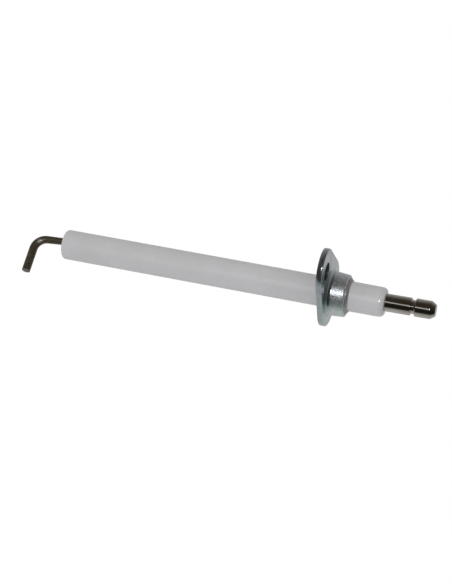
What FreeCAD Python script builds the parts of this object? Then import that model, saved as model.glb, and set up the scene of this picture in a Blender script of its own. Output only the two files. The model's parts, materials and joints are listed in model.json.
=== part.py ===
import FreeCAD, Part
import math
import os
import Sketcher

# Ignition electrode for a gas or oil burner, in millimetres.
# The frame: +X runs along the ceramic axis from the spark tip to the terminal, +Z runs from that
# axis towards the screw hole of the flange, and the origin is where the axis meets the front face
# of the flange, the face that seats on the burner plate. The spark tip is turned towards -Y.

FULL_TURN = 360.0
QUARTER = math.pi / 2
MATCH = 1e-4
UP = FreeCAD.Vector(0, 0, 1)

# Driving dimensions: alias, value in millimetres, what it measures.
DIMENSIONS = [
    ("barrel_reach", 100.0, "insulator ahead of the flange face"),
    ("barrel_radius", 5.5, "insulator radius ahead of the flange seat"),
    ("barrel_round", 1.0, "rounding of the insulator's front end"),
    ("seat_start", 1.0, "shoulder that the clamping sleeve butts on"),
    ("seat_radius", 5.4, "insulator radius behind the shoulder"),
    ("stub_reach", 22.15, "insulator behind the flange face"),
    ("stub_round", 1.0, "rounding of the insulator's rear end"),
    ("wire_bore_radius", 2.4, "bore that carries the wire"),
    ("socket_radius", 3.0, "rear counterbore for the terminal shank"),
    ("socket_depth", 12.5, "depth of that counterbore"),
    ("wire_radius", 1.55, "heat-resistant electrode wire"),
    ("wire_tail", 17.0, "rear end of the wire, inside the terminal"),
    ("wire_lean", 0.6, "how far the wire lies off the axis where it starts to bend"),
    ("leg_reach", 6.65, "straight wire ahead of the insulator"),
    ("bend_radius", 4.9, "centreline radius of the bend"),
    ("tip_reach", 9.4, "straight wire after the bend"),
    ("tip_bevel", 0.15, "deburred edge of the cut wire end"),
    ("pin_radius", 3.175, "terminal pin for a quarter-inch snap connector"),
    ("pin_reach", 18.15, "terminal pin behind the insulator"),
    ("groove_start", 9.05, "snap groove, from the insulator's end"),
    ("groove_lead_in", 0.45, "axial length of the groove's first flank"),
    ("groove_floor", 0.9, "length of the groove's floor"),
    ("groove_lead_out", 0.55, "axial length of the groove's second flank"),
    ("groove_depth", 0.65, "depth of the snap groove"),
    ("nose_taper", 1.9, "axial length of the taper at the pin's end"),
    ("nose_drop", 0.95, "how much that taper takes off the radius"),
    ("nose_round", 0.6, "rounding between the taper and the end face"),
    ("shank_radius", 2.5, "terminal shank inside the insulator"),
    ("shank_reach", 12.0, "length of that shank"),
    ("crimp_bore_radius", 1.6, "blind bore of the shank, over the wire"),
    ("crimp_bore_depth", 7.0, "depth of that bore"),
    ("plate_thickness", 2.0, "flange sheet"),
    ("plate_radius", 12.25, "round end of the flange, about the insulator's axis"),
    ("lobe_radius", 8.05, "small end of the flange, round the screw hole"),
    ("lobe_offset", 16.4, "centre of the small end above the axis"),
    ("hole_offset", 15.6, "screw hole above the axis"),
    ("hole_radius", 3.25, "clearance hole for an M6 screw"),
    ("plate_round", 0.3, "stamped edge on the rear of the flange"),
    ("collar_reach", 8.3, "end of the drawn collar behind the flange face"),
    ("collar_root_radius", 7.95, "outside of the collar at the plate"),
    ("collar_mouth_radius", 7.65, "outside of the collar at its mouth"),
    ("collar_bore_radius", 6.5, "inside of the collar"),
    ("collar_fillet", 1.6, "draw radius outside, where the collar leaves the plate"),
    ("collar_entry", 1.2, "draw radius inside, at the front face"),
    ("collar_lip", 0.5, "rounded outer edge of the collar's mouth"),
    ("sleeve_reach", 9.35, "end of the clamping sleeve behind the flange face"),
    ("sleeve_round", 0.3, "outer edge of the clamping sleeve"),
]


class Dim:
    """A length known both as a number and as the expression that a sketch is bound to."""

    def __init__(self, value, text):
        self.value = value
        self.text = text

    def __add__(self, other):
        return Dim(self.value + other.value, "(%s + %s)" % (self.text, other.text))

    def __sub__(self, other):
        return Dim(self.value - other.value, "(%s - %s)" % (self.text, other.text))

    def __neg__(self):
        return Dim(-self.value, "(-%s)" % self.text)


ZERO = Dim(0.0, "0")


def make_sheet(doc):
    """Write the driving dimensions to a sheet and give them back by alias."""
    sheet = doc.addObject("Spreadsheet::Sheet", "Dimensions")
    lengths = {}
    for row, (alias, value, meaning) in enumerate(DIMENSIONS, start=1):
        sheet.set("A%d" % row, meaning)
        sheet.set("B%d" % row, str(value))
        sheet.setAlias("B%d" % row, alias)
        lengths[alias] = Dim(value, "Dimensions.%s" % alias)
    doc.recompute()
    return lengths


def make_body(doc, label):
    body = doc.addObject("PartDesign::Body", label)
    body.Label = label
    body.Placement = FreeCAD.Placement()
    return body


def origin_feature(body, role):
    return next(item for item in body.Origin.OriginFeatures if item.Role == role)


def make_sketch(body, name, role):
    """An empty sketch on one of the body's own origin planes."""
    sketch = body.newObject("Sketcher::SketchObject", name)
    sketch.AttachmentSupport = [(origin_feature(body, role), "")]
    sketch.MapMode = "FlatFace"
    return sketch


def bind(sketch, kind, place, length):
    """Add a dimension to the sketch and tie it to the sheet."""
    index = sketch.addConstraint(Sketcher.Constraint(kind, *place, length.value))
    sketch.setExpression("Constraints[%d]" % index, length.text)


def pin_point(sketch, geometry, end, across, up):
    """Hold one point of a sketch at bound distances from the sketch's origin."""
    bind(sketch, "DistanceX", (-1, 1, geometry, end), across)
    bind(sketch, "DistanceY", (-1, 1, geometry, end), up)


def vector(across, up):
    return FreeCAD.Vector(across.value, up.value, 0)


def draw_polygon(sketch, corners):
    """A closed outline through the corners, each held by two bound distances."""
    lines = []
    for start, end in zip(corners, corners[1:] + corners[:1]):
        lines.append(sketch.addGeometry(Part.LineSegment(vector(*start), vector(*end))))
    for line, following in zip(lines, lines[1:] + lines[:1]):
        sketch.addConstraint(Sketcher.Constraint("Coincident", line, 2, following, 1))
    for line, corner in zip(lines, corners):
        pin_point(sketch, line, 1, *corner)


def draw_circle(sketch, across, up, radius):
    circle = Part.Circle(vector(across, up), UP, radius.value)
    index = sketch.addGeometry(circle)
    pin_point(sketch, index, 3, across, up)
    bind(sketch, "Radius", (index,), radius)


def revolve(body, name, corners):
    """A solid of revolution about the X axis from (axial, radial) corners."""
    sketch = make_sketch(body, name + "_profile", "XZ_Plane")
    draw_polygon(sketch, corners)
    turned = body.newObject("PartDesign::Revolution", name)
    turned.Profile = sketch
    turned.ReferenceAxis = (sketch, ["H_Axis"])
    turned.Angle = FULL_TURN
    body.Document.recompute()
    return turned


def ring_edges(feature, rings):
    """Names of the full-circle edges about the X axis at the given (axial, radial) places."""
    names = []
    for number, edge in enumerate(feature.Shape.Edges, start=1):
        if not isinstance(edge.Curve, Part.Circle):
            continue
        centre, radius = edge.Curve.Center, edge.Curve.Radius
        for axial, radial in rings:
            if abs(centre.x - axial.value) < MATCH and abs(radius - radial.value) < MATCH:
                names.append("Edge%d" % number)
    return names


def round_edges(body, name, base, edges, radius):
    rounded = body.newObject("PartDesign::Fillet", name)
    rounded.Base = (base, edges)
    rounded.setExpression("Radius", radius.text)
    body.Document.recompute()
    return rounded


def make_insulator(doc, d):
    """Alumina barrel with a through bore, a flange seat and a rear socket for the terminal."""
    body = make_body(doc, "ceramic_insulator")
    front, rear = -d["barrel_reach"], d["stub_reach"]
    socket_floor = rear - d["socket_depth"]
    turned = revolve(body, "barrel", [
        (front, d["wire_bore_radius"]),
        (front, d["barrel_radius"]),
        (d["seat_start"], d["barrel_radius"]),
        (d["seat_start"], d["seat_radius"]),
        (rear, d["seat_radius"]),
        (rear, d["socket_radius"]),
        (socket_floor, d["socket_radius"]),
        (socket_floor, d["wire_bore_radius"]),
    ])
    front_edge = ring_edges(turned, [(front, d["barrel_radius"])])
    front_round = round_edges(body, "front_round", turned, front_edge, d["barrel_round"])
    rear_edge = ring_edges(front_round, [(rear, d["seat_radius"])])
    round_edges(body, "rear_round", front_round, rear_edge, d["stub_round"])
    return body


def wire_bend_start(d):
    return -(d["barrel_reach"] + d["leg_reach"])


def make_wire(doc, d):
    """Round wire from the terminal through the bore, bent square to make the spark tip."""
    body = make_body(doc, "electrode_wire")
    tail, bend, radius = d["wire_tail"], wire_bend_start(d), d["bend_radius"]
    turn = bend - radius
    drop = d["wire_lean"] - radius
    path = make_sketch(body, "wire_path", "XY_Plane")
    run = path.addGeometry(Part.LineSegment(vector(tail, ZERO), vector(bend, d["wire_lean"])))
    circle = Part.Circle(vector(bend, drop), UP, radius.value)
    corner = path.addGeometry(Part.ArcOfCircle(circle, QUARTER, 2 * QUARTER))
    tip = path.addGeometry(Part.LineSegment(vector(turn, drop), vector(turn, drop - d["tip_reach"])))
    path.addConstraint(Sketcher.Constraint("Coincident", run, 2, corner, 1))
    path.addConstraint(Sketcher.Constraint("Coincident", corner, 2, tip, 1))
    pin_point(path, run, 1, tail, ZERO)
    pin_point(path, run, 2, bend, d["wire_lean"])
    pin_point(path, corner, 3, bend, drop)
    bind(path, "DistanceY", (-1, 1, tip, 1), drop)
    pin_point(path, tip, 2, turn, drop - d["tip_reach"])
    section = make_sketch(body, "wire_section", "YZ_Plane")
    section.setExpression(".AttachmentOffset.Base.z", tail.text)
    draw_circle(section, ZERO, ZERO, d["wire_radius"])
    pipe = body.newObject("PartDesign::AdditivePipe", "wire")
    pipe.Profile = section
    pipe.Spine = path
    doc.recompute()
    end_height = (drop - d["tip_reach"]).value
    end_edges = ["Edge%d" % number for number, edge in enumerate(pipe.Shape.Edges, start=1)
                 if edge.BoundBox.YMax < end_height + MATCH]
    bevel = body.newObject("PartDesign::Chamfer", "wire_end")
    bevel.Base = (pipe, end_edges)
    bevel.setExpression("Size", d["tip_bevel"].text)
    doc.recompute()
    return body


def make_terminal(doc, d):
    """Turned terminal: blind-bored shank, plain pin, snap groove and tapered nose."""
    body = make_body(doc, "terminal_stud")
    seat = d["stub_reach"]
    shank = seat - d["shank_reach"]
    bore_floor = shank + d["crimp_bore_depth"]
    end = seat + d["pin_reach"]
    nose = end - d["nose_taper"]
    nose_radius = d["pin_radius"] - d["nose_drop"]
    floor_radius = d["pin_radius"] - d["groove_depth"]
    flank = seat + d["groove_start"]
    floor = flank + d["groove_lead_in"]
    floor_end = floor + d["groove_floor"]
    flank_end = floor_end + d["groove_lead_out"]
    turned = revolve(body, "stud", [
        (shank, d["crimp_bore_radius"]),
        (shank, d["shank_radius"]),
        (seat, d["shank_radius"]),
        (seat, d["pin_radius"]),
        (flank, d["pin_radius"]),
        (floor, floor_radius),
        (floor_end, floor_radius),
        (flank_end, d["pin_radius"]),
        (nose, d["pin_radius"]),
        (end, nose_radius),
        (end, ZERO),
        (bore_floor, ZERO),
        (bore_floor, d["crimp_bore_radius"]),
    ])
    nose_edges = ring_edges(turned, [(end, nose_radius), (nose, d["pin_radius"])])
    round_edges(body, "nose_rounding", turned, nose_edges, d["nose_round"])
    return body


def make_cement(doc, d):
    """Ceramic cement between the terminal shank and its socket."""
    body = make_body(doc, "terminal_cement")
    rear = d["stub_reach"]
    front = rear - d["shank_reach"]
    revolve(body, "cement", [
        (front, d["shank_radius"]),
        (front, d["socket_radius"]),
        (rear, d["socket_radius"]),
        (rear, d["shank_radius"]),
    ])
    return body


def draw_flange_outline(sketch, d):
    """Two arcs, round the axis and round the screw hole, joined by their common tangents."""
    big, small, offset = d["plate_radius"], d["lobe_radius"], d["lobe_offset"]
    tilt = math.asin((big.value - small.value) / offset.value)
    right = FreeCAD.Vector(math.cos(tilt), math.sin(tilt), 0)
    left = FreeCAD.Vector(-right.x, right.y, 0)
    centre, top = FreeCAD.Vector(), vector(ZERO, offset)
    outer = sketch.addGeometry(Part.ArcOfCircle(
        Part.Circle(centre, UP, big.value), math.pi - tilt, 2 * math.pi + tilt))
    lobe = sketch.addGeometry(Part.ArcOfCircle(
        Part.Circle(top, UP, small.value), tilt, math.pi - tilt))
    rising = sketch.addGeometry(Part.LineSegment(right * big.value, top + right * small.value))
    falling = sketch.addGeometry(Part.LineSegment(top + left * small.value, left * big.value))
    for first, second in ((outer, rising), (rising, lobe), (lobe, falling), (falling, outer)):
        sketch.addConstraint(Sketcher.Constraint("Tangent", first, 2, second, 1))
    pin_point(sketch, outer, 3, ZERO, ZERO)
    pin_point(sketch, lobe, 3, ZERO, offset)
    bind(sketch, "Radius", (outer,), big)
    bind(sketch, "Radius", (lobe,), small)


def make_plate(body, d):
    """The flat sheet of the flange, rounded on its rear edge as a stamping is."""
    outline = make_sketch(body, "plate_outline", "YZ_Plane")
    draw_flange_outline(outline, d)
    plate = body.newObject("PartDesign::Pad", "plate")
    plate.Profile = outline
    plate.setExpression("Length", d["plate_thickness"].text)
    body.Document.recompute()
    rear = d["plate_thickness"].value
    edges = ["Edge%d" % number for number, edge in enumerate(plate.Shape.Edges, start=1)
             if edge.BoundBox.XMin > rear - MATCH]
    return round_edges(body, "plate_edge", plate, edges, d["plate_round"])


def cut_through_plate(body, name, up, radius, d):
    """A round hole along X through the flange sheet."""
    sketch = make_sketch(body, name + "_circle", "YZ_Plane")
    draw_circle(sketch, ZERO, up, radius)
    hole = body.newObject("PartDesign::Pocket", name)
    hole.Profile = sketch
    hole.Reversed = True
    hole.setExpression("Length", d["plate_thickness"].text)
    body.Document.recompute()
    return hole


def draw_collar_profile(sketch, d):
    """Half section of the drawn collar in (axial, radial) terms, with its two draw radii."""
    face, rear, mouth = ZERO, d["plate_thickness"], d["collar_reach"]
    bore, root, rim = d["collar_bore_radius"], d["collar_root_radius"], d["collar_mouth_radius"]
    entry, fillet = d["collar_entry"], d["collar_fillet"]
    corners = [
        (entry, bore),
        (mouth, bore),
        (mouth, rim),
        (rear + fillet, root),
        (rear, root + fillet),
        (face, root + fillet),
        (face, bore + entry),
    ]
    lines = {}
    for number in (0, 1, 2, 4, 5):
        segment = Part.LineSegment(vector(*corners[number]), vector(*corners[number + 1]))
        lines[number] = sketch.addGeometry(segment)
    inner = sketch.addGeometry(Part.ArcOfCircle(
        Part.Circle(vector(entry, bore + entry), UP, entry.value), math.pi, 3 * QUARTER))
    outer = sketch.addGeometry(Part.ArcOfCircle(
        Part.Circle(vector(rear + fillet, root + fillet), UP, fillet.value), math.pi, 3 * QUARTER))
    joints = [
        (lines[0], 2, lines[1], 1),
        (lines[1], 2, lines[2], 1),
        (lines[2], 2, outer, 2),
        (outer, 1, lines[4], 1),
        (lines[4], 2, lines[5], 1),
        (lines[5], 2, inner, 1),
        (inner, 2, lines[0], 1),
    ]
    for joint in joints:
        sketch.addConstraint(Sketcher.Constraint("Coincident", *joint))
    for number in (0, 1, 2, 4, 5):
        pin_point(sketch, lines[number], 1, *corners[number])
    pin_point(sketch, lines[2], 2, *corners[3])
    pin_point(sketch, lines[5], 2, *corners[6])
    bind(sketch, "Radius", (inner,), entry)
    bind(sketch, "Radius", (outer,), fillet)


def make_flange(doc, d):
    """Stamped steel flange: flat plate with a screw hole and a collar drawn out of it."""
    body = make_body(doc, "mounting_flange")
    make_plate(body, d)
    cut_through_plate(body, "collar_opening", ZERO, d["collar_bore_radius"] + d["collar_entry"], d)
    profile = make_sketch(body, "collar_profile", "XZ_Plane")
    draw_collar_profile(profile, d)
    collar = body.newObject("PartDesign::Revolution", "collar")
    collar.Profile = profile
    collar.ReferenceAxis = (profile, ["H_Axis"])
    collar.Angle = FULL_TURN
    doc.recompute()
    lip = ring_edges(collar, [(d["collar_reach"], d["collar_mouth_radius"])])
    round_edges(body, "collar_lip", collar, lip, d["collar_lip"])
    cut_through_plate(body, "screw_hole", d["hole_offset"], d["hole_radius"], d)
    return body


def make_sleeve(doc, d):
    """Clamping sleeve squeezed between the collar and the insulator, standing out of the collar."""
    body = make_body(doc, "clamping_sleeve")
    front, rear = d["seat_start"], d["sleeve_reach"]
    turned = revolve(body, "sleeve", [
        (front, d["seat_radius"]),
        (front, d["collar_bore_radius"]),
        (rear, d["collar_bore_radius"]),
        (rear, d["seat_radius"]),
    ])
    edge = ring_edges(turned, [(rear, d["collar_bore_radius"])])
    round_edges(body, "sleeve_edge", turned, edge, d["sleeve_round"])
    return body


def check_document(doc, bodies):
    """Stop before anything is written if an object failed or a piece has no sound solid."""
    for item in doc.Objects:
        if "Invalid" in item.State or "Error" in item.State:
            raise RuntimeError("%s did not recompute: %s" % (item.Label, item.State))
    for body in bodies:
        shape = body.Shape
        if shape.isNull() or not shape.isValid() or len(shape.Solids) != 1:
            raise RuntimeError("%s is not one valid solid" % body.Label)


def main():
    os.makedirs("parts", exist_ok=True)
    doc = FreeCAD.newDocument("IgnitionElectrode")
    lengths = make_sheet(doc)
    makers = (make_insulator, make_wire, make_terminal, make_cement, make_flange, make_sleeve)
    bodies = [maker(doc, lengths) for maker in makers]
    doc.recompute()
    check_document(doc, bodies)
    for body in bodies:
        body.Shape.exportStep("parts/%s.step" % body.Label)
        box = body.Shape.BoundBox
        print("%-20s volume %9.2f mm3  x %7.2f %7.2f  y %6.2f %6.2f  z %6.2f %6.2f" % (
            body.Label, body.Shape.Volume, box.XMin, box.XMax, box.YMin, box.YMax, box.ZMin, box.ZMax))


main()
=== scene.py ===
import json
import math

import bmesh
import bpy
from mathutils import Matrix, Vector


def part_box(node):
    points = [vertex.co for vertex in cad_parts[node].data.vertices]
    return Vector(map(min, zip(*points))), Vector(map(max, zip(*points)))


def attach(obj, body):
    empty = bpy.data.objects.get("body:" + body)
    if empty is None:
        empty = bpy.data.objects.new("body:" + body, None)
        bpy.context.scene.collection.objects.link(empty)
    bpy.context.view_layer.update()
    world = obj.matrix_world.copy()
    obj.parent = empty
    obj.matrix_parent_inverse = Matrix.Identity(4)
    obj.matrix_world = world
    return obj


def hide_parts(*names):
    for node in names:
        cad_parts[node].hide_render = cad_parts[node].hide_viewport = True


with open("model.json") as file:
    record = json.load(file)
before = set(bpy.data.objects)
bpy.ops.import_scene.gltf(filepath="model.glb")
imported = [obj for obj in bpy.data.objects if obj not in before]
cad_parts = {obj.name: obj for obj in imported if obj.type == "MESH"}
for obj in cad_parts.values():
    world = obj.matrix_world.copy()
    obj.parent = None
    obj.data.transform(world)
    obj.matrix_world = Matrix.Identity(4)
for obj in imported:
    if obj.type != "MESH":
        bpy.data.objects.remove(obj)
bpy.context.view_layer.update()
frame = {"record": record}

# Sizes are in millimetres, in the part's frame: +X runs along the ceramic axis to the terminal,
# +Z to the screw hole, and the origin is on the flange's front face. MM turns them into metres.
MM = 0.001


def extent(node):
    """A CAD node's lowest x, highest x and highest z."""
    low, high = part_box(node)
    return [round(v / MM, 3) for v in (low[0], high[0], high[2])]


BARREL_FRONT, STUB_END, BARREL_RADIUS = extent("ceramic_insulator")
SEAT_START, SLEEVE_END, SLEEVE_RADIUS = extent("clamping_sleeve")
SEAT_RADIUS = BARREL_RADIUS - 0.1
SHANK_START, PIN_END = extent("terminal_stud")[:2]
CRIMP_END = extent("electrode_wire")[1]
COLLAR_END = extent("mounting_flange")[1]

# The hole is drawn where the object's own hole is seen, a little off the CAD's nominal one.
SCREW_HOLE = next(m for m in frame["record"]["mounts"] if m["name"] == "screw_hole")
PLATE = SCREW_HOLE["dims"]["length_mm"]
HOLE_UP = SCREW_HOLE["pos_m"][2] / MM + 0.25
HOLE_RADIUS = SCREW_HOLE["dims"]["r_mm"] + 0.1

# Two directions square to the axis: the pin and the flange lean along the first.
ASIDE, UPRIGHT = Vector((0, 0.906, 0.423)), Vector((0, -0.423, 0.906))

TURNED_SIDES, WIRE_SIDES, HOLE_SIDES, OUTLINE_STEPS = 192, 64, 72, 96


# ---------------------------------------------------------------- geometry helpers
def arc(centre, radius, start, end, steps):
    """Points of an arc in (axial, radial) terms, angles in degrees from +X towards +radius.

    The radius is one number, or a pair for an ellipse.
    """
    rx, ry = radius if isinstance(radius, tuple) else (radius, radius)
    turns = [math.radians(start + (end - start) * k / steps) for k in range(steps + 1)]
    return [(centre[0] + rx * math.cos(t), centre[1] + ry * math.sin(t)) for t in turns]


def circle_points(up, radius, count):
    """Points of a circle in (y, z), its centre at the given height."""
    turns = [math.tau * k / count for k in range(count)]
    return [(radius * math.cos(t), up + radius * math.sin(t)) for t in turns]


def loop(bm, x, points):
    """Vertices at one x for points in (y, z)."""
    return [bm.verts.new((x * MM, y * MM, z * MM)) for y, z in points]


def ring(bm, x, radius):
    """Vertices of a circle about the X axis."""
    return loop(bm, x, circle_points(0.0, radius, TURNED_SIDES))


def bridge(bm, first, second):
    """Quads between two closed loops of as many vertices."""
    count = len(first)
    for k in range(count):
        n = (k + 1) % count
        bm.faces.new((first[k], first[n], second[n], second[k]))


def bridge_all(bm, loops):
    for first, second in zip(loops, loops[1:]):
        bridge(bm, first, second)


def fill_flat(bm, loops):
    """Triangles between closed loops of vertices that lie in one plane."""
    edges = []
    for verts in loops:
        for a, b in zip(verts, verts[1:] + verts[:1]):
            edges.append(bm.edges.get((a, b)) or bm.edges.new((a, b)))
    bmesh.ops.triangle_fill(bm, use_beauty=True, edges=edges)


def add_object(name, data):
    obj = bpy.data.objects.new(name, data)
    bpy.context.scene.collection.objects.link(obj)
    return obj


def finish_mesh(bm, name, material, sharp=35):
    """Make the object from its mesh, smooth except at edges over the sharp angle in degrees."""
    bmesh.ops.recalc_face_normals(bm, faces=bm.faces)
    mesh = bpy.data.meshes.new(name)
    bm.to_mesh(mesh)
    bm.free()
    mesh.shade_smooth()
    mesh.set_sharp_from_angle(angle=math.radians(sharp))
    mesh.materials.append(material)
    return add_object(name, mesh)


def lathe(name, profile, material, sharp=35):
    """A closed solid of revolution about X from a closed (axial, radial) profile."""
    bm = bmesh.new()
    rings = [ring(bm, x, r) for x, r in profile]
    bridge_all(bm, rings + rings[:1])
    return finish_mesh(bm, name, material, sharp)


# ---------------------------------------------------------------- materials
def plug(tree, socket, value):
    """Link a node's output to a socket, or set the socket to a number or a colour."""
    if isinstance(value, bpy.types.NodeSocket):
        tree.links.new(value, socket)
    else:
        socket.default_value = (*value, 1) if isinstance(value, tuple) else value


def add_ramp(tree, value, stops, interpolation="LINEAR"):
    """Map a value through colour stops: (position, colour or grey)."""
    node = tree.nodes.new("ShaderNodeValToRGB")
    node.color_ramp.interpolation = interpolation
    items = node.color_ramp.elements
    while len(items) < len(stops):
        items.new(0.5)
    for item, (position, colour) in zip(items, stops):
        item.position = position
        item.color = (*colour, 1) if isinstance(colour, tuple) else (colour, colour, colour, 1)
    tree.links.new(value, node.inputs["Fac"])
    return node.outputs["Color"]


def add_mix(tree, factor, first, second, blend="MIX"):
    node = tree.nodes.new("ShaderNodeMix")
    node.data_type = "RGBA"
    node.blend_type = blend
    plug(tree, node.inputs[0], factor)
    plug(tree, node.inputs[6], first)
    plug(tree, node.inputs[7], second)
    return node.outputs[2]


class Shader:
    """A principled material with short ways to add noise, ramps and bumps."""

    def __init__(self, name):
        self.material = bpy.data.materials.new(name)
        self.material.use_nodes = True
        self.tree = self.material.node_tree
        self.body = self.tree.nodes["Principled BSDF"]
        self.place = self.node("TexCoord").outputs["Object"]

    def node(self, kind):
        return self.tree.nodes.new("ShaderNode" + kind)

    def set(self, **values):
        """Set or link inputs of the principled node, with _ for each space in their names."""
        for key, value in values.items():
            plug(self.tree, self.body.inputs[key.replace("_", " ")], value)

    def stretch(self, scale):
        """Object coordinates in metres, multiplied by a scale along each axis."""
        node = self.node("Mapping")
        node.inputs["Scale"].default_value = scale
        self.tree.links.new(self.place, node.inputs["Vector"])
        return node.outputs["Vector"]

    def noise(self, scale, detail=4.0, rough=0.55, stretch=None):
        node = self.node("TexNoise")
        node.inputs["Scale"].default_value = scale
        node.inputs["Detail"].default_value = detail
        node.inputs["Roughness"].default_value = rough
        place = self.stretch(stretch) if stretch else self.place
        self.tree.links.new(place, node.inputs["Vector"])
        return node.outputs["Fac"]

    def ramp(self, value, stops):
        return add_ramp(self.tree, value, stops, "EASE")

    def mix(self, factor, first, second):
        return add_mix(self.tree, factor, first, second)

    def tinted(self, colour, tint):
        """One colour multiplied by another."""
        return add_mix(self.tree, 1.0, colour, tint, "MULTIPLY")

    def math(self, operation, first, second=0.0):
        node = self.node("Math")
        node.operation = operation
        plug(self.tree, node.inputs[0], first)
        plug(self.tree, node.inputs[1], second)
        return node.outputs[0]

    def axis(self, name):
        """One object coordinate, in metres."""
        node = self.node("SeparateXYZ")
        self.tree.links.new(self.place, node.inputs[0])
        return node.outputs[name]

    def radius(self, up_mm=0.0):
        """Distance in metres from the line along X at the given height."""
        y, z = self.axis("Y"), self.math("SUBTRACT", self.axis("Z"), up_mm * MM)
        square = self.math("ADD", self.math("MULTIPLY", y, y), self.math("MULTIPLY", z, z))
        return self.math("SQRT", square)

    def over(self, metres, stops, span_mm=20.0):
        """Map a length through stops in millimetres, all of them between 0 and the span."""
        share = self.math("MULTIPLY", metres, 1 / (span_mm * MM))
        return self.ramp(share, [(mm / span_mm, value) for mm, value in stops])

    def near(self, spot_mm, core_mm, reach_mm):
        """1 within the core distance of a spot, falling to 0 at the reach."""
        node = self.node("VectorMath")
        node.operation = "DISTANCE"
        node.inputs[1].default_value = [v * MM for v in spot_mm]
        self.tree.links.new(self.place, node.inputs[0])
        return self.over(node.outputs["Value"], [(core_mm, 1.0), (reach_mm, 0.0)], reach_mm)

    def bump(self, height, distance_mm, strength=1.0):
        node = self.node("Bump")
        node.inputs["Distance"].default_value = distance_mm * MM
        plug(self.tree, node.inputs["Strength"], strength)
        self.tree.links.new(height, node.inputs["Height"])
        self.set(Normal=node.outputs["Normal"])


def alumina():
    """White ceramic with a thin glaze, full over the last 2 mm at the terminal's end."""
    s = Shader("alumina")
    white = [(0.3, (0.71, 0.71, 0.73)), (0.7, (0.745, 0.745, 0.77))]
    s.set(
        Base_Color=s.ramp(s.noise(90, 5), white),
        Roughness=s.ramp(s.noise(700, 3), [(0.3, 0.26), (0.7, 0.38)]),
        Specular_IOR_Level=0.4,
        Coat_Weight=s.over(s.axis("X"), [(19.75, 0.3), (20.25, 1.0)], span_mm=25.0),
        Coat_Roughness=0.13,
    )
    s.bump(s.noise(1500, 4), 0.002)
    return s.material


def oxidised_wire():
    """Brown oxide scale, with bare metal on the cut tip and a painted highlight, a paler spot,
    on the bend.
    """
    s = Shader("oxidised_wire")
    scale = s.ramp(s.noise(420, 5, 0.6), [
        (0.3, (0.069, 0.058, 0.036)),
        (0.5, (0.100, 0.084, 0.053)),
        (0.7, (0.144, 0.117, 0.085)),
    ])
    cut = s.over(s.axis("Y"), [(-13.56, 0.0), (-13.66, 1.0)], span_mm=-20.0)
    patchy = s.ramp(s.noise(1300, 3), [(0.3, 0.5), (0.6, 1.0)])
    # Painted highlight: a paler patch on the bend, where a lamp's reflection shows.
    painted_highlight = s.math("MULTIPLY", s.near((-109.6, -1.3, 1.5), 0.3, 1.5), patchy)
    scale = s.mix(painted_highlight, scale, (0.34, 0.34, 0.30))
    s.set(
        Base_Color=s.mix(cut, scale, (0.215, 0.185, 0.165)),
        Roughness=s.ramp(s.noise(1500, 4), [(0.3, 0.34), (0.7, 0.5)]),
        Metallic=0.55,
        Specular_IOR_Level=0.5,
    )
    s.bump(s.noise(3000, 4), 0.01)
    return s.material


def nickel_plate():
    """Dark bright nickel with fine turning marks round the axis."""
    s = Shader("nickel_plate")
    nickel = [(0.3, (0.44, 0.41, 0.37)), (0.7, (0.53, 0.505, 0.465))]
    s.set(
        Base_Color=s.ramp(s.noise(260, 4), nickel),
        Roughness=s.ramp(s.noise(900, 3), [(0.3, 0.08), (0.7, 0.10)]),
        Metallic=1.0,
    )
    s.bump(s.noise(1.0, 2, 0.5, stretch=(5200, 90, 90)), 0.0012)
    return s.material


def zinc_plate():
    """Bright zinc: glossy on the plate, duller and mottled on the collar, dull in the hole, with
    painted shade in the hole, over the rim's front and towards one corner.
    """
    s = Shader("zinc_plate")
    along = s.axis("X")
    aside = s.math(
        "ADD",
        s.math("MULTIPLY", s.axis("Y"), ASIDE.y),
        s.math("MULTIPLY", s.axis("Z"), ASIDE.z),
    )
    outside_hole = s.over(s.radius(HOLE_UP), [(3.36, 0.0), (3.52, 1.0)])
    collar = s.math(
        "MULTIPLY",
        s.over(s.radius(), [(8.3, 1.0), (8.6, 0.0)]),
        s.over(along, [(3.1, 0.0), (3.6, 1.0)]),
    )

    base = s.ramp(s.noise(300, 5, 0.6), [(0.3, (0.41, 0.46, 0.48)), (0.7, (0.48, 0.53, 0.55))])
    cloudy = s.ramp(s.noise(170, 3), [
        (0.36, (1.0, 0.95, 1.0)),
        (0.5, (1.0, 1.0, 1.0)),
        (0.64, (0.90, 1.0, 0.96)),
    ])
    # Painted shade: the plate darker and warmer towards one corner, from 10 to 14.4 mm along
    # ASIDE.
    painted_shade_corner = s.over(aside, [(10.0, (1.0, 1.0, 1.0)), (14.4, (0.86, 0.80, 0.79))])
    # Painted shade: the zinc darker from the front face to 1.4 mm back, over the rim's front
    # part.
    painted_shade_rim = s.over(along, [(1.4, 0.84), (1.8, 1.0)])
    for tint in (cloudy, painted_shade_corner, painted_shade_rim):
        base = s.tinted(base, tint)
    base = s.mix(collar, base, s.tinted(base, (1.39, 1.32, 1.30)))

    glossy = s.ramp(s.noise(500, 4, 0.6), [(0.3, 0.13), (0.7, 0.22)])
    dull = s.ramp(s.noise(1500, 3, 0.6), [(0.35, 0.25), (0.65, 0.48)])
    # Painted shade: the hole's wall is painted near black, as shade falls in it.
    s.set(
        Base_Color=s.mix(outside_hole, (0.10, 0.115, 0.095), base),
        Roughness=s.mix(outside_hole, (0.6, 0.6, 0.6), s.mix(collar, glossy, dull)),
        Metallic=s.ramp(collar, [(0.0, 0.93), (1.0, 0.78)]),
    )
    mottle = s.math("MULTIPLY", outside_hole, s.ramp(collar, [(0.0, 0.07), (1.0, 1.0)]))
    s.bump(s.noise(1400, 3, 0.6), 0.075, mottle)
    return s.material


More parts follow.
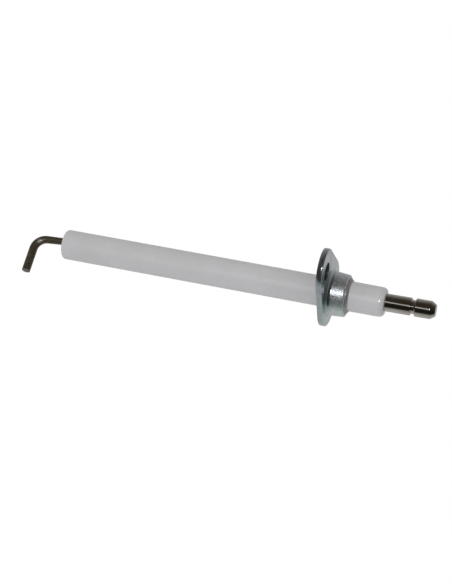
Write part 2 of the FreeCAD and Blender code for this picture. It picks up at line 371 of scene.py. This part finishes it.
def sleeve_steel():
    s = Shader("sleeve_steel")
    grey = [(0.3, (0.355, 0.343, 0.337)), (0.7, (0.465, 0.45, 0.445))]
    s.set(
        Base_Color=s.ramp(s.noise(500, 4), grey),
        Roughness=s.ramp(s.noise(900, 4), [(0.3, 0.35), (0.7, 0.5)]),
        Metallic=0.6,
    )
    s.bump(s.noise(1800, 4), 0.008)
    return s.material


def cement():
    s = Shader("cement")
    cream = [(0.3, (0.52, 0.50, 0.45)), (0.7, (0.72, 0.70, 0.64))]
    s.set(Base_Color=s.ramp(s.noise(900, 6, 0.7), cream), Roughness=0.95)
    s.bump(s.noise(2500, 6, 0.7), 0.05)
    return s.material


def floor_paper():
    """White by a light of its own, so that hardly any shadow or lamp shows on it."""
    s = Shader("floor_paper")
    s.set(
        Base_Color=(0.04, 0.04, 0.04),
        Roughness=0.9,
        Specular_IOR_Level=0.0,
        Emission_Color=(1, 1, 1),
        Emission_Strength=0.99,
    )
    return s.material


# ---------------------------------------------------------------- pieces
def make_insulator(material):
    """Ceramic barrel, the reduced seat behind it, its through bore and its socket."""
    front, rear, radius = BARREL_FRONT, STUB_END, BARREL_RADIUS
    bore, bore_edge, front_round = 2.4, 0.15, 1.15
    socket, socket_radius = rear - 12.5, 3.0
    ripple, round_long, round_high = 0.03, 1.9, 1.3
    profile = [(front, bore + bore_edge), (front, radius - front_round)]
    profile += arc((front + front_round, radius - front_round), front_round, 180, 90, 14)[1:]
    profile += [(x, radius) for x in (-75, -50, -25, SEAT_START - 0.01)]
    profile += [(SEAT_START, SEAT_RADIUS), (9.4, SEAT_RADIUS + ripple)]
    profile += [(x, SEAT_RADIUS - ripple) for x in (rear - 2.4, rear - round_long)]
    corner = (rear - round_long, SEAT_RADIUS - ripple - round_high)
    profile += arc(corner, (round_long, round_high), 90, 0, 24)[1:]
    profile += [(rear, socket_radius), (socket, socket_radius)]
    profile += [(socket, bore), (front + bore_edge, bore)]
    return lathe("insulator", profile, material)


def make_terminal(material):
    """Turned terminal with a snap groove, tilted a fraction of a degree off the axis."""
    shank, seat, end = SHANK_START, STUB_END, PIN_END - 0.04
    radius, nose, groove, neck = 3.22, 3.28, 2.535, 2.6
    shank_radius, crimp_depth, crimp_radius, centre = 2.5, 7.0, 1.6, 0.02
    profile = [(shank, crimp_radius), (shank, shank_radius), (seat, shank_radius)]
    profile += [(seat, radius - 0.1), (seat + 0.1, radius)]
    profile += [(seat + 9.0, radius), (seat + 9.08, radius - 0.04), (seat + 9.4, neck)]
    profile += [(seat + 9.5, groove), (seat + 10.35, groove), (seat + 10.45, neck)]
    profile += [(seat + 10.83, nose - 0.06), (seat + 10.95, nose), (end - 2.0, nose)]
    profile += arc((end - 1.97, nose - 0.62), 0.62, 88, 64, 4)[1:]
    profile += arc((end - 0.5, nose - 1.42), 0.5, 62, 0, 10)
    profile += [(end, centre), (shank + crimp_depth, centre)]
    profile += [(shank + crimp_depth, crimp_radius)]
    terminal = lathe("terminal", profile, material, 25)
    pivot = Vector((shank * MM, 0, 0))
    tilt = Matrix.Rotation(math.radians(0.75), 4, UPRIGHT)
    terminal.data.transform(Matrix.Translation(pivot) @ tilt @ Matrix.Translation(-pivot))
    return terminal


def make_sleeve(material):
    """Sleeve between the collar and the ceramic seat, chamfered where it stands out."""
    inner, outer = SEAT_RADIUS, SLEEVE_RADIUS
    profile = [(SEAT_START, inner), (SEAT_START, outer), (8.6, outer), (8.7, outer - 0.04)]
    profile += [(SLEEVE_END - 0.06, inner + 0.48), (SLEEVE_END, inner + 0.36)]
    profile += [(SLEEVE_END, inner)]
    return lathe("sleeve", profile, material)


def wire_path():
    """The wire's centreline in (x, y) and its radius, from the terminal to the spark tip."""
    start = Vector((BARREL_FRONT, 0.94))
    droop, reach, turn = math.radians(4.0), 7.35, 4.5
    last, tip = math.radians(90.8), 9.5
    points = []
    for k in range(40):
        share = k / 40
        x = CRIMP_END + (start.x - CRIMP_END) * share
        points.append((Vector((x, start.y * share)), 1.28))
    ahead = Vector((-math.cos(droop), -math.sin(droop)))
    for k in range(12):
        points.append((start + ahead * reach * k / 12, 1.29 + 0.12 * k / 12))
    centre = start + ahead * reach + Vector((ahead.y, -ahead.x)) * -turn
    for k in range(31):
        heading = droop + (last - droop) * k / 30
        place = centre + Vector((-math.sin(heading), math.cos(heading))) * turn
        points.append((place, 1.41 + 0.14 * min(1.0, k / 15)))
    end = points[-1][0]
    down = Vector((-math.cos(last), -math.sin(last)))
    points += [(end + down * tip * k / 12, 1.55) for k in range(1, 13)]
    return points


def make_wire(material):
    path = wire_path()
    bm = bmesh.new()
    rings = []
    for k, ((x, y), radius) in enumerate(path):
        before, after = path[max(k - 1, 0)][0], path[min(k + 1, len(path) - 1)][0]
        ahead = (after - before).normalized()
        side, up = Vector((-ahead.y, ahead.x, 0)), Vector((0, 0, 1))
        spots = []
        for n in range(WIRE_SIDES):
            a = math.tau * n / WIRE_SIDES
            spot = Vector((x, y, 0)) + (side * math.cos(a) + up * math.sin(a)) * radius
            spots.append(bm.verts.new(spot * MM))
        rings.append(spots)
    bridge_all(bm, rings)
    bm.faces.new(list(reversed(rings[0])))
    tip = bm.faces.new(rings[-1])
    bmesh.ops.bevel(bm, geom=list(tip.edges), offset=0.15 * MM, segments=3, affect="EDGES",
                    profile=0.5)
    return finish_mesh(bm, "wire", material)


def flange_outline(inset):
    """The flange's outline in (y, z), moved inwards by inset: two arcs and their tangents."""
    big, small, offset = 12.25 - inset, 8.05 - inset, 16.4
    tilt = math.asin((big - small) / offset)
    start, end = math.pi - tilt, math.tau + tilt
    points = []
    for k in range(OUTLINE_STEPS + 1):
        a = start + (end - start) * k / OUTLINE_STEPS
        points.append((big * math.cos(a), big * math.sin(a)))
    for k in range(OUTLINE_STEPS + 1):
        a = tilt + (math.pi - 2 * tilt) * k / OUTLINE_STEPS
        points.append((small * math.cos(a), offset + small * math.sin(a)))
    return points


def collar_section():
    """The drawn collar's surface in (axial, radial), from the plate's back to its front."""
    bore, root, mouth, reach = SLEEVE_RADIUS, 7.95, 7.65, COLLAR_END
    entry, fillet = 1.2, 1.6
    section = arc((PLATE + fillet, root + fillet), fillet, 180, 270, 12)
    section += [(reach - 3.0, root - 0.12), (reach - 0.6, mouth)]
    section += arc((reach - 0.6, mouth - 0.75), (0.6, 0.75), 90, 0, 8)[1:]
    section += [(reach, bore), (entry, bore)]
    section += arc((entry, bore + entry), entry, 270, 180, 10)[1:]
    return section


def make_flange(material):
    """Stamped plate with a screw hole and a drawn collar."""
    bm = bmesh.new()
    edge, front_edge, soft = 0.35, 0.1, 0.15
    rim = []
    for degrees in (90, 72, 54, 36, 18, 0):
        t = math.radians(degrees)
        x = PLATE - edge + edge * math.sin(t)
        rim.append(loop(bm, x, flange_outline(edge * (1 - math.cos(t)))))
    rim.append(loop(bm, 0.12, flange_outline(0)))
    rim.append(loop(bm, 0.0, flange_outline(front_edge)))
    bridge_all(bm, rim)
    steps = [(PLATE, soft), (PLATE - 0.05, 0.05), (PLATE - soft, 0), (0.1, 0), (0.0, front_edge)]
    hole = [loop(bm, x, circle_points(HOLE_UP, HOLE_RADIUS + grow, HOLE_SIDES))
            for x, grow in steps]
    bridge_all(bm, hole)
    rings = [ring(bm, x, r) for x, r in collar_section()]
    bridge_all(bm, rings)
    fill_flat(bm, (rim[0], hole[0], rings[0]))
    fill_flat(bm, (rim[-1], hole[-1], rings[-1]))
    # As pressed: the lower edge turns back by up to 0.25 mm, and the collar leans a little.
    turn_back, lean, collar_from = 0.02, 0.022, 1.2 * PLATE * MM
    for vert in bm.verts:
        vert.co.x -= turn_back * min(0.0, vert.co.dot(ASIDE))
        if vert.co.x > collar_from:
            vert.co -= ASIDE * lean * (vert.co.x - PLATE * MM)
    return finish_mesh(bm, "flange", material, 40)


def build_object(strip_lit):
    """Make the pieces that replace CAD nodes, and finish the node that is kept.

    The pieces that the strip lamp lights are also linked to the collection strip_lit.
    """
    finishes = {
        "alumina": alumina(),
        "oxidised_wire": oxidised_wire(),
        "nickel_plate": nickel_plate(),
        "zinc_plate": zinc_plate(),
        "sleeve_steel": sleeve_steel(),
        "cement": cement(),
    }
    makers = [
        (make_insulator, "ceramic_insulator", "alumina"),
        (make_wire, "electrode_wire", "oxidised_wire"),
        (make_terminal, "terminal_stud", "nickel_plate"),
        (make_flange, "mounting_flange", "zinc_plate"),
        (make_sleeve, "clamping_sleeve", "sleeve_steel"),
    ]
    for maker, node, slot in makers:
        piece = maker(finishes[slot])
        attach(piece, "root")
        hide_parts(node)
        if node in ("terminal_stud", "electrode_wire"):
            strip_lit.objects.link(piece)
    kept = bpy.data.objects["terminal_cement"]
    kept.data.materials.clear()
    kept.data.materials.append(finishes["cement"])


# ---------------------------------------------------------------- studio
def make_camera():
    azimuth, elevation, roll = 30.61, 61.55, -16.94
    target = Vector((-37.36, -3.85, -7.39)) * MM
    distance = 627.6 * MM
    turn = (Matrix.Rotation(math.radians(azimuth), 3, "Z")
            @ Matrix.Rotation(math.radians(90 - elevation), 3, "X")
            @ Matrix.Rotation(math.radians(roll), 3, "Z"))
    camera = add_object("camera", bpy.data.cameras.new("camera"))
    camera.location = target + turn @ Vector((0, 0, distance))
    camera.rotation_euler = turn.to_euler()
    camera.data.sensor_width = 36
    camera.data.lens = 105.56
    camera.data.clip_start, camera.data.clip_end = 0.01, 20
    bpy.context.scene.camera = camera


def make_floor():
    """A plain white floor under the object, left out of its reflections and bounced light."""
    mesh = bpy.data.meshes.new("floor")
    reach, height = 15.0, -12.3 * MM
    corners = [(-reach, -reach), (reach, -reach), (reach, reach), (-reach, reach)]
    mesh.from_pydata([(x, y, height) for x, y in corners], [], [(0, 1, 2, 3)])
    mesh.materials.append(floor_paper())
    floor = add_object("floor", mesh)
    floor.visible_diffuse = False
    floor.visible_glossy = False


def lamp(name, kind, azimuth, elevation, distance, power):
    """A lamp aimed at the part's origin from a direction in degrees and a distance in metres."""
    a, e = math.radians(azimuth), math.radians(elevation)
    back = Vector((math.sin(a) * math.cos(e), -math.cos(a) * math.cos(e), math.sin(e)))
    light = add_object(name, bpy.data.lights.new(name, kind))
    light.data.energy = power
    light.location = back * distance
    light.rotation_euler = back.to_track_quat("Z", "Y").to_euler()
    return light


def make_lamps(strip_lit):
    """The flash and the strip make only reflections, and the front and fill lamps make none."""
    flash = lamp("flash", "AREA", azimuth=17, elevation=70, distance=1.0, power=2.6)
    flash.data.shape = "DISK"
    flash.data.size = 0.1
    flash.data.color = (0.94, 0.96, 1.0)
    flash.visible_diffuse = False
    strip = lamp("strip", "AREA", azimuth=-46, elevation=70.4, distance=0.7, power=0.24)
    strip.data.shape = "RECTANGLE"
    strip.data.size, strip.data.size_y = 1.0, 0.11
    strip.visible_diffuse = False
    strip.light_linking.receiver_collection = strip_lit
    front = lamp("front", "AREA", azimuth=-14, elevation=65, distance=0.8, power=1.77)
    front.data.size = 0.4
    front.visible_glossy = False
    fill = lamp("fill", "SUN", azimuth=0, elevation=80, distance=1.0, power=1.12)
    fill.data.angle = math.radians(180)
    fill.visible_glossy = False


def make_world():
    """Pale paper below the horizon and a dim room above it, softer at the back."""
    world = bpy.data.worlds.new("studio")
    bpy.context.scene.world = world
    world.use_nodes = True
    tree = world.node_tree
    aim = tree.nodes.new("ShaderNodeTexCoord").outputs["Generated"]

    def slope(direction):
        """How far the view points along a direction of length 0.5: 1 along it, 0.5 across it."""
        dot = tree.nodes.new("ShaderNodeVectorMath")
        dot.operation = "DOT_PRODUCT"
        dot.inputs[1].default_value = direction
        tree.links.new(aim, dot.inputs[0])
        middle = tree.nodes.new("ShaderNodeMath")
        middle.inputs[1].default_value = 0.5
        tree.links.new(dot.outputs["Value"], middle.inputs[0])
        return middle.outputs[0]

    height = slope((0.14, 0, 0.5))
    front = add_ramp(tree, height, [
        (0.0, 0.62), (0.165, 0.65), (0.30, 0.52), (0.406, 0.44), (0.45, 0.30), (0.496, 0.06),
        (0.57, (0.03, 0.03, 0.024)), (0.72, (0.014, 0.013, 0.010)), (1.0, (0.04, 0.034, 0.026)),
    ])
    back = add_ramp(tree, height, [
        (0.0, 0.60), (0.37, 0.46), (0.56, 0.30), (0.71, 0.17), (0.82, (0.09, 0.08, 0.066)),
        (0.90, (0.052, 0.042, 0.030)), (1.0, (0.048, 0.040, 0.028)),
    ])
    towards_back = add_ramp(tree, slope((0, 0.5, 0)), [(0.35, 0.0), (0.6, 1.0)])
    room = add_mix(tree, towards_back, front, back)
    tree.links.new(room, tree.nodes["Background"].inputs["Color"])


strip_lit = bpy.data.collections.new("strip_lit")
build_object(strip_lit)
make_camera()
make_floor()
make_world()
make_lamps(strip_lit)
bpy.context.scene.view_settings.view_transform = "Standard"
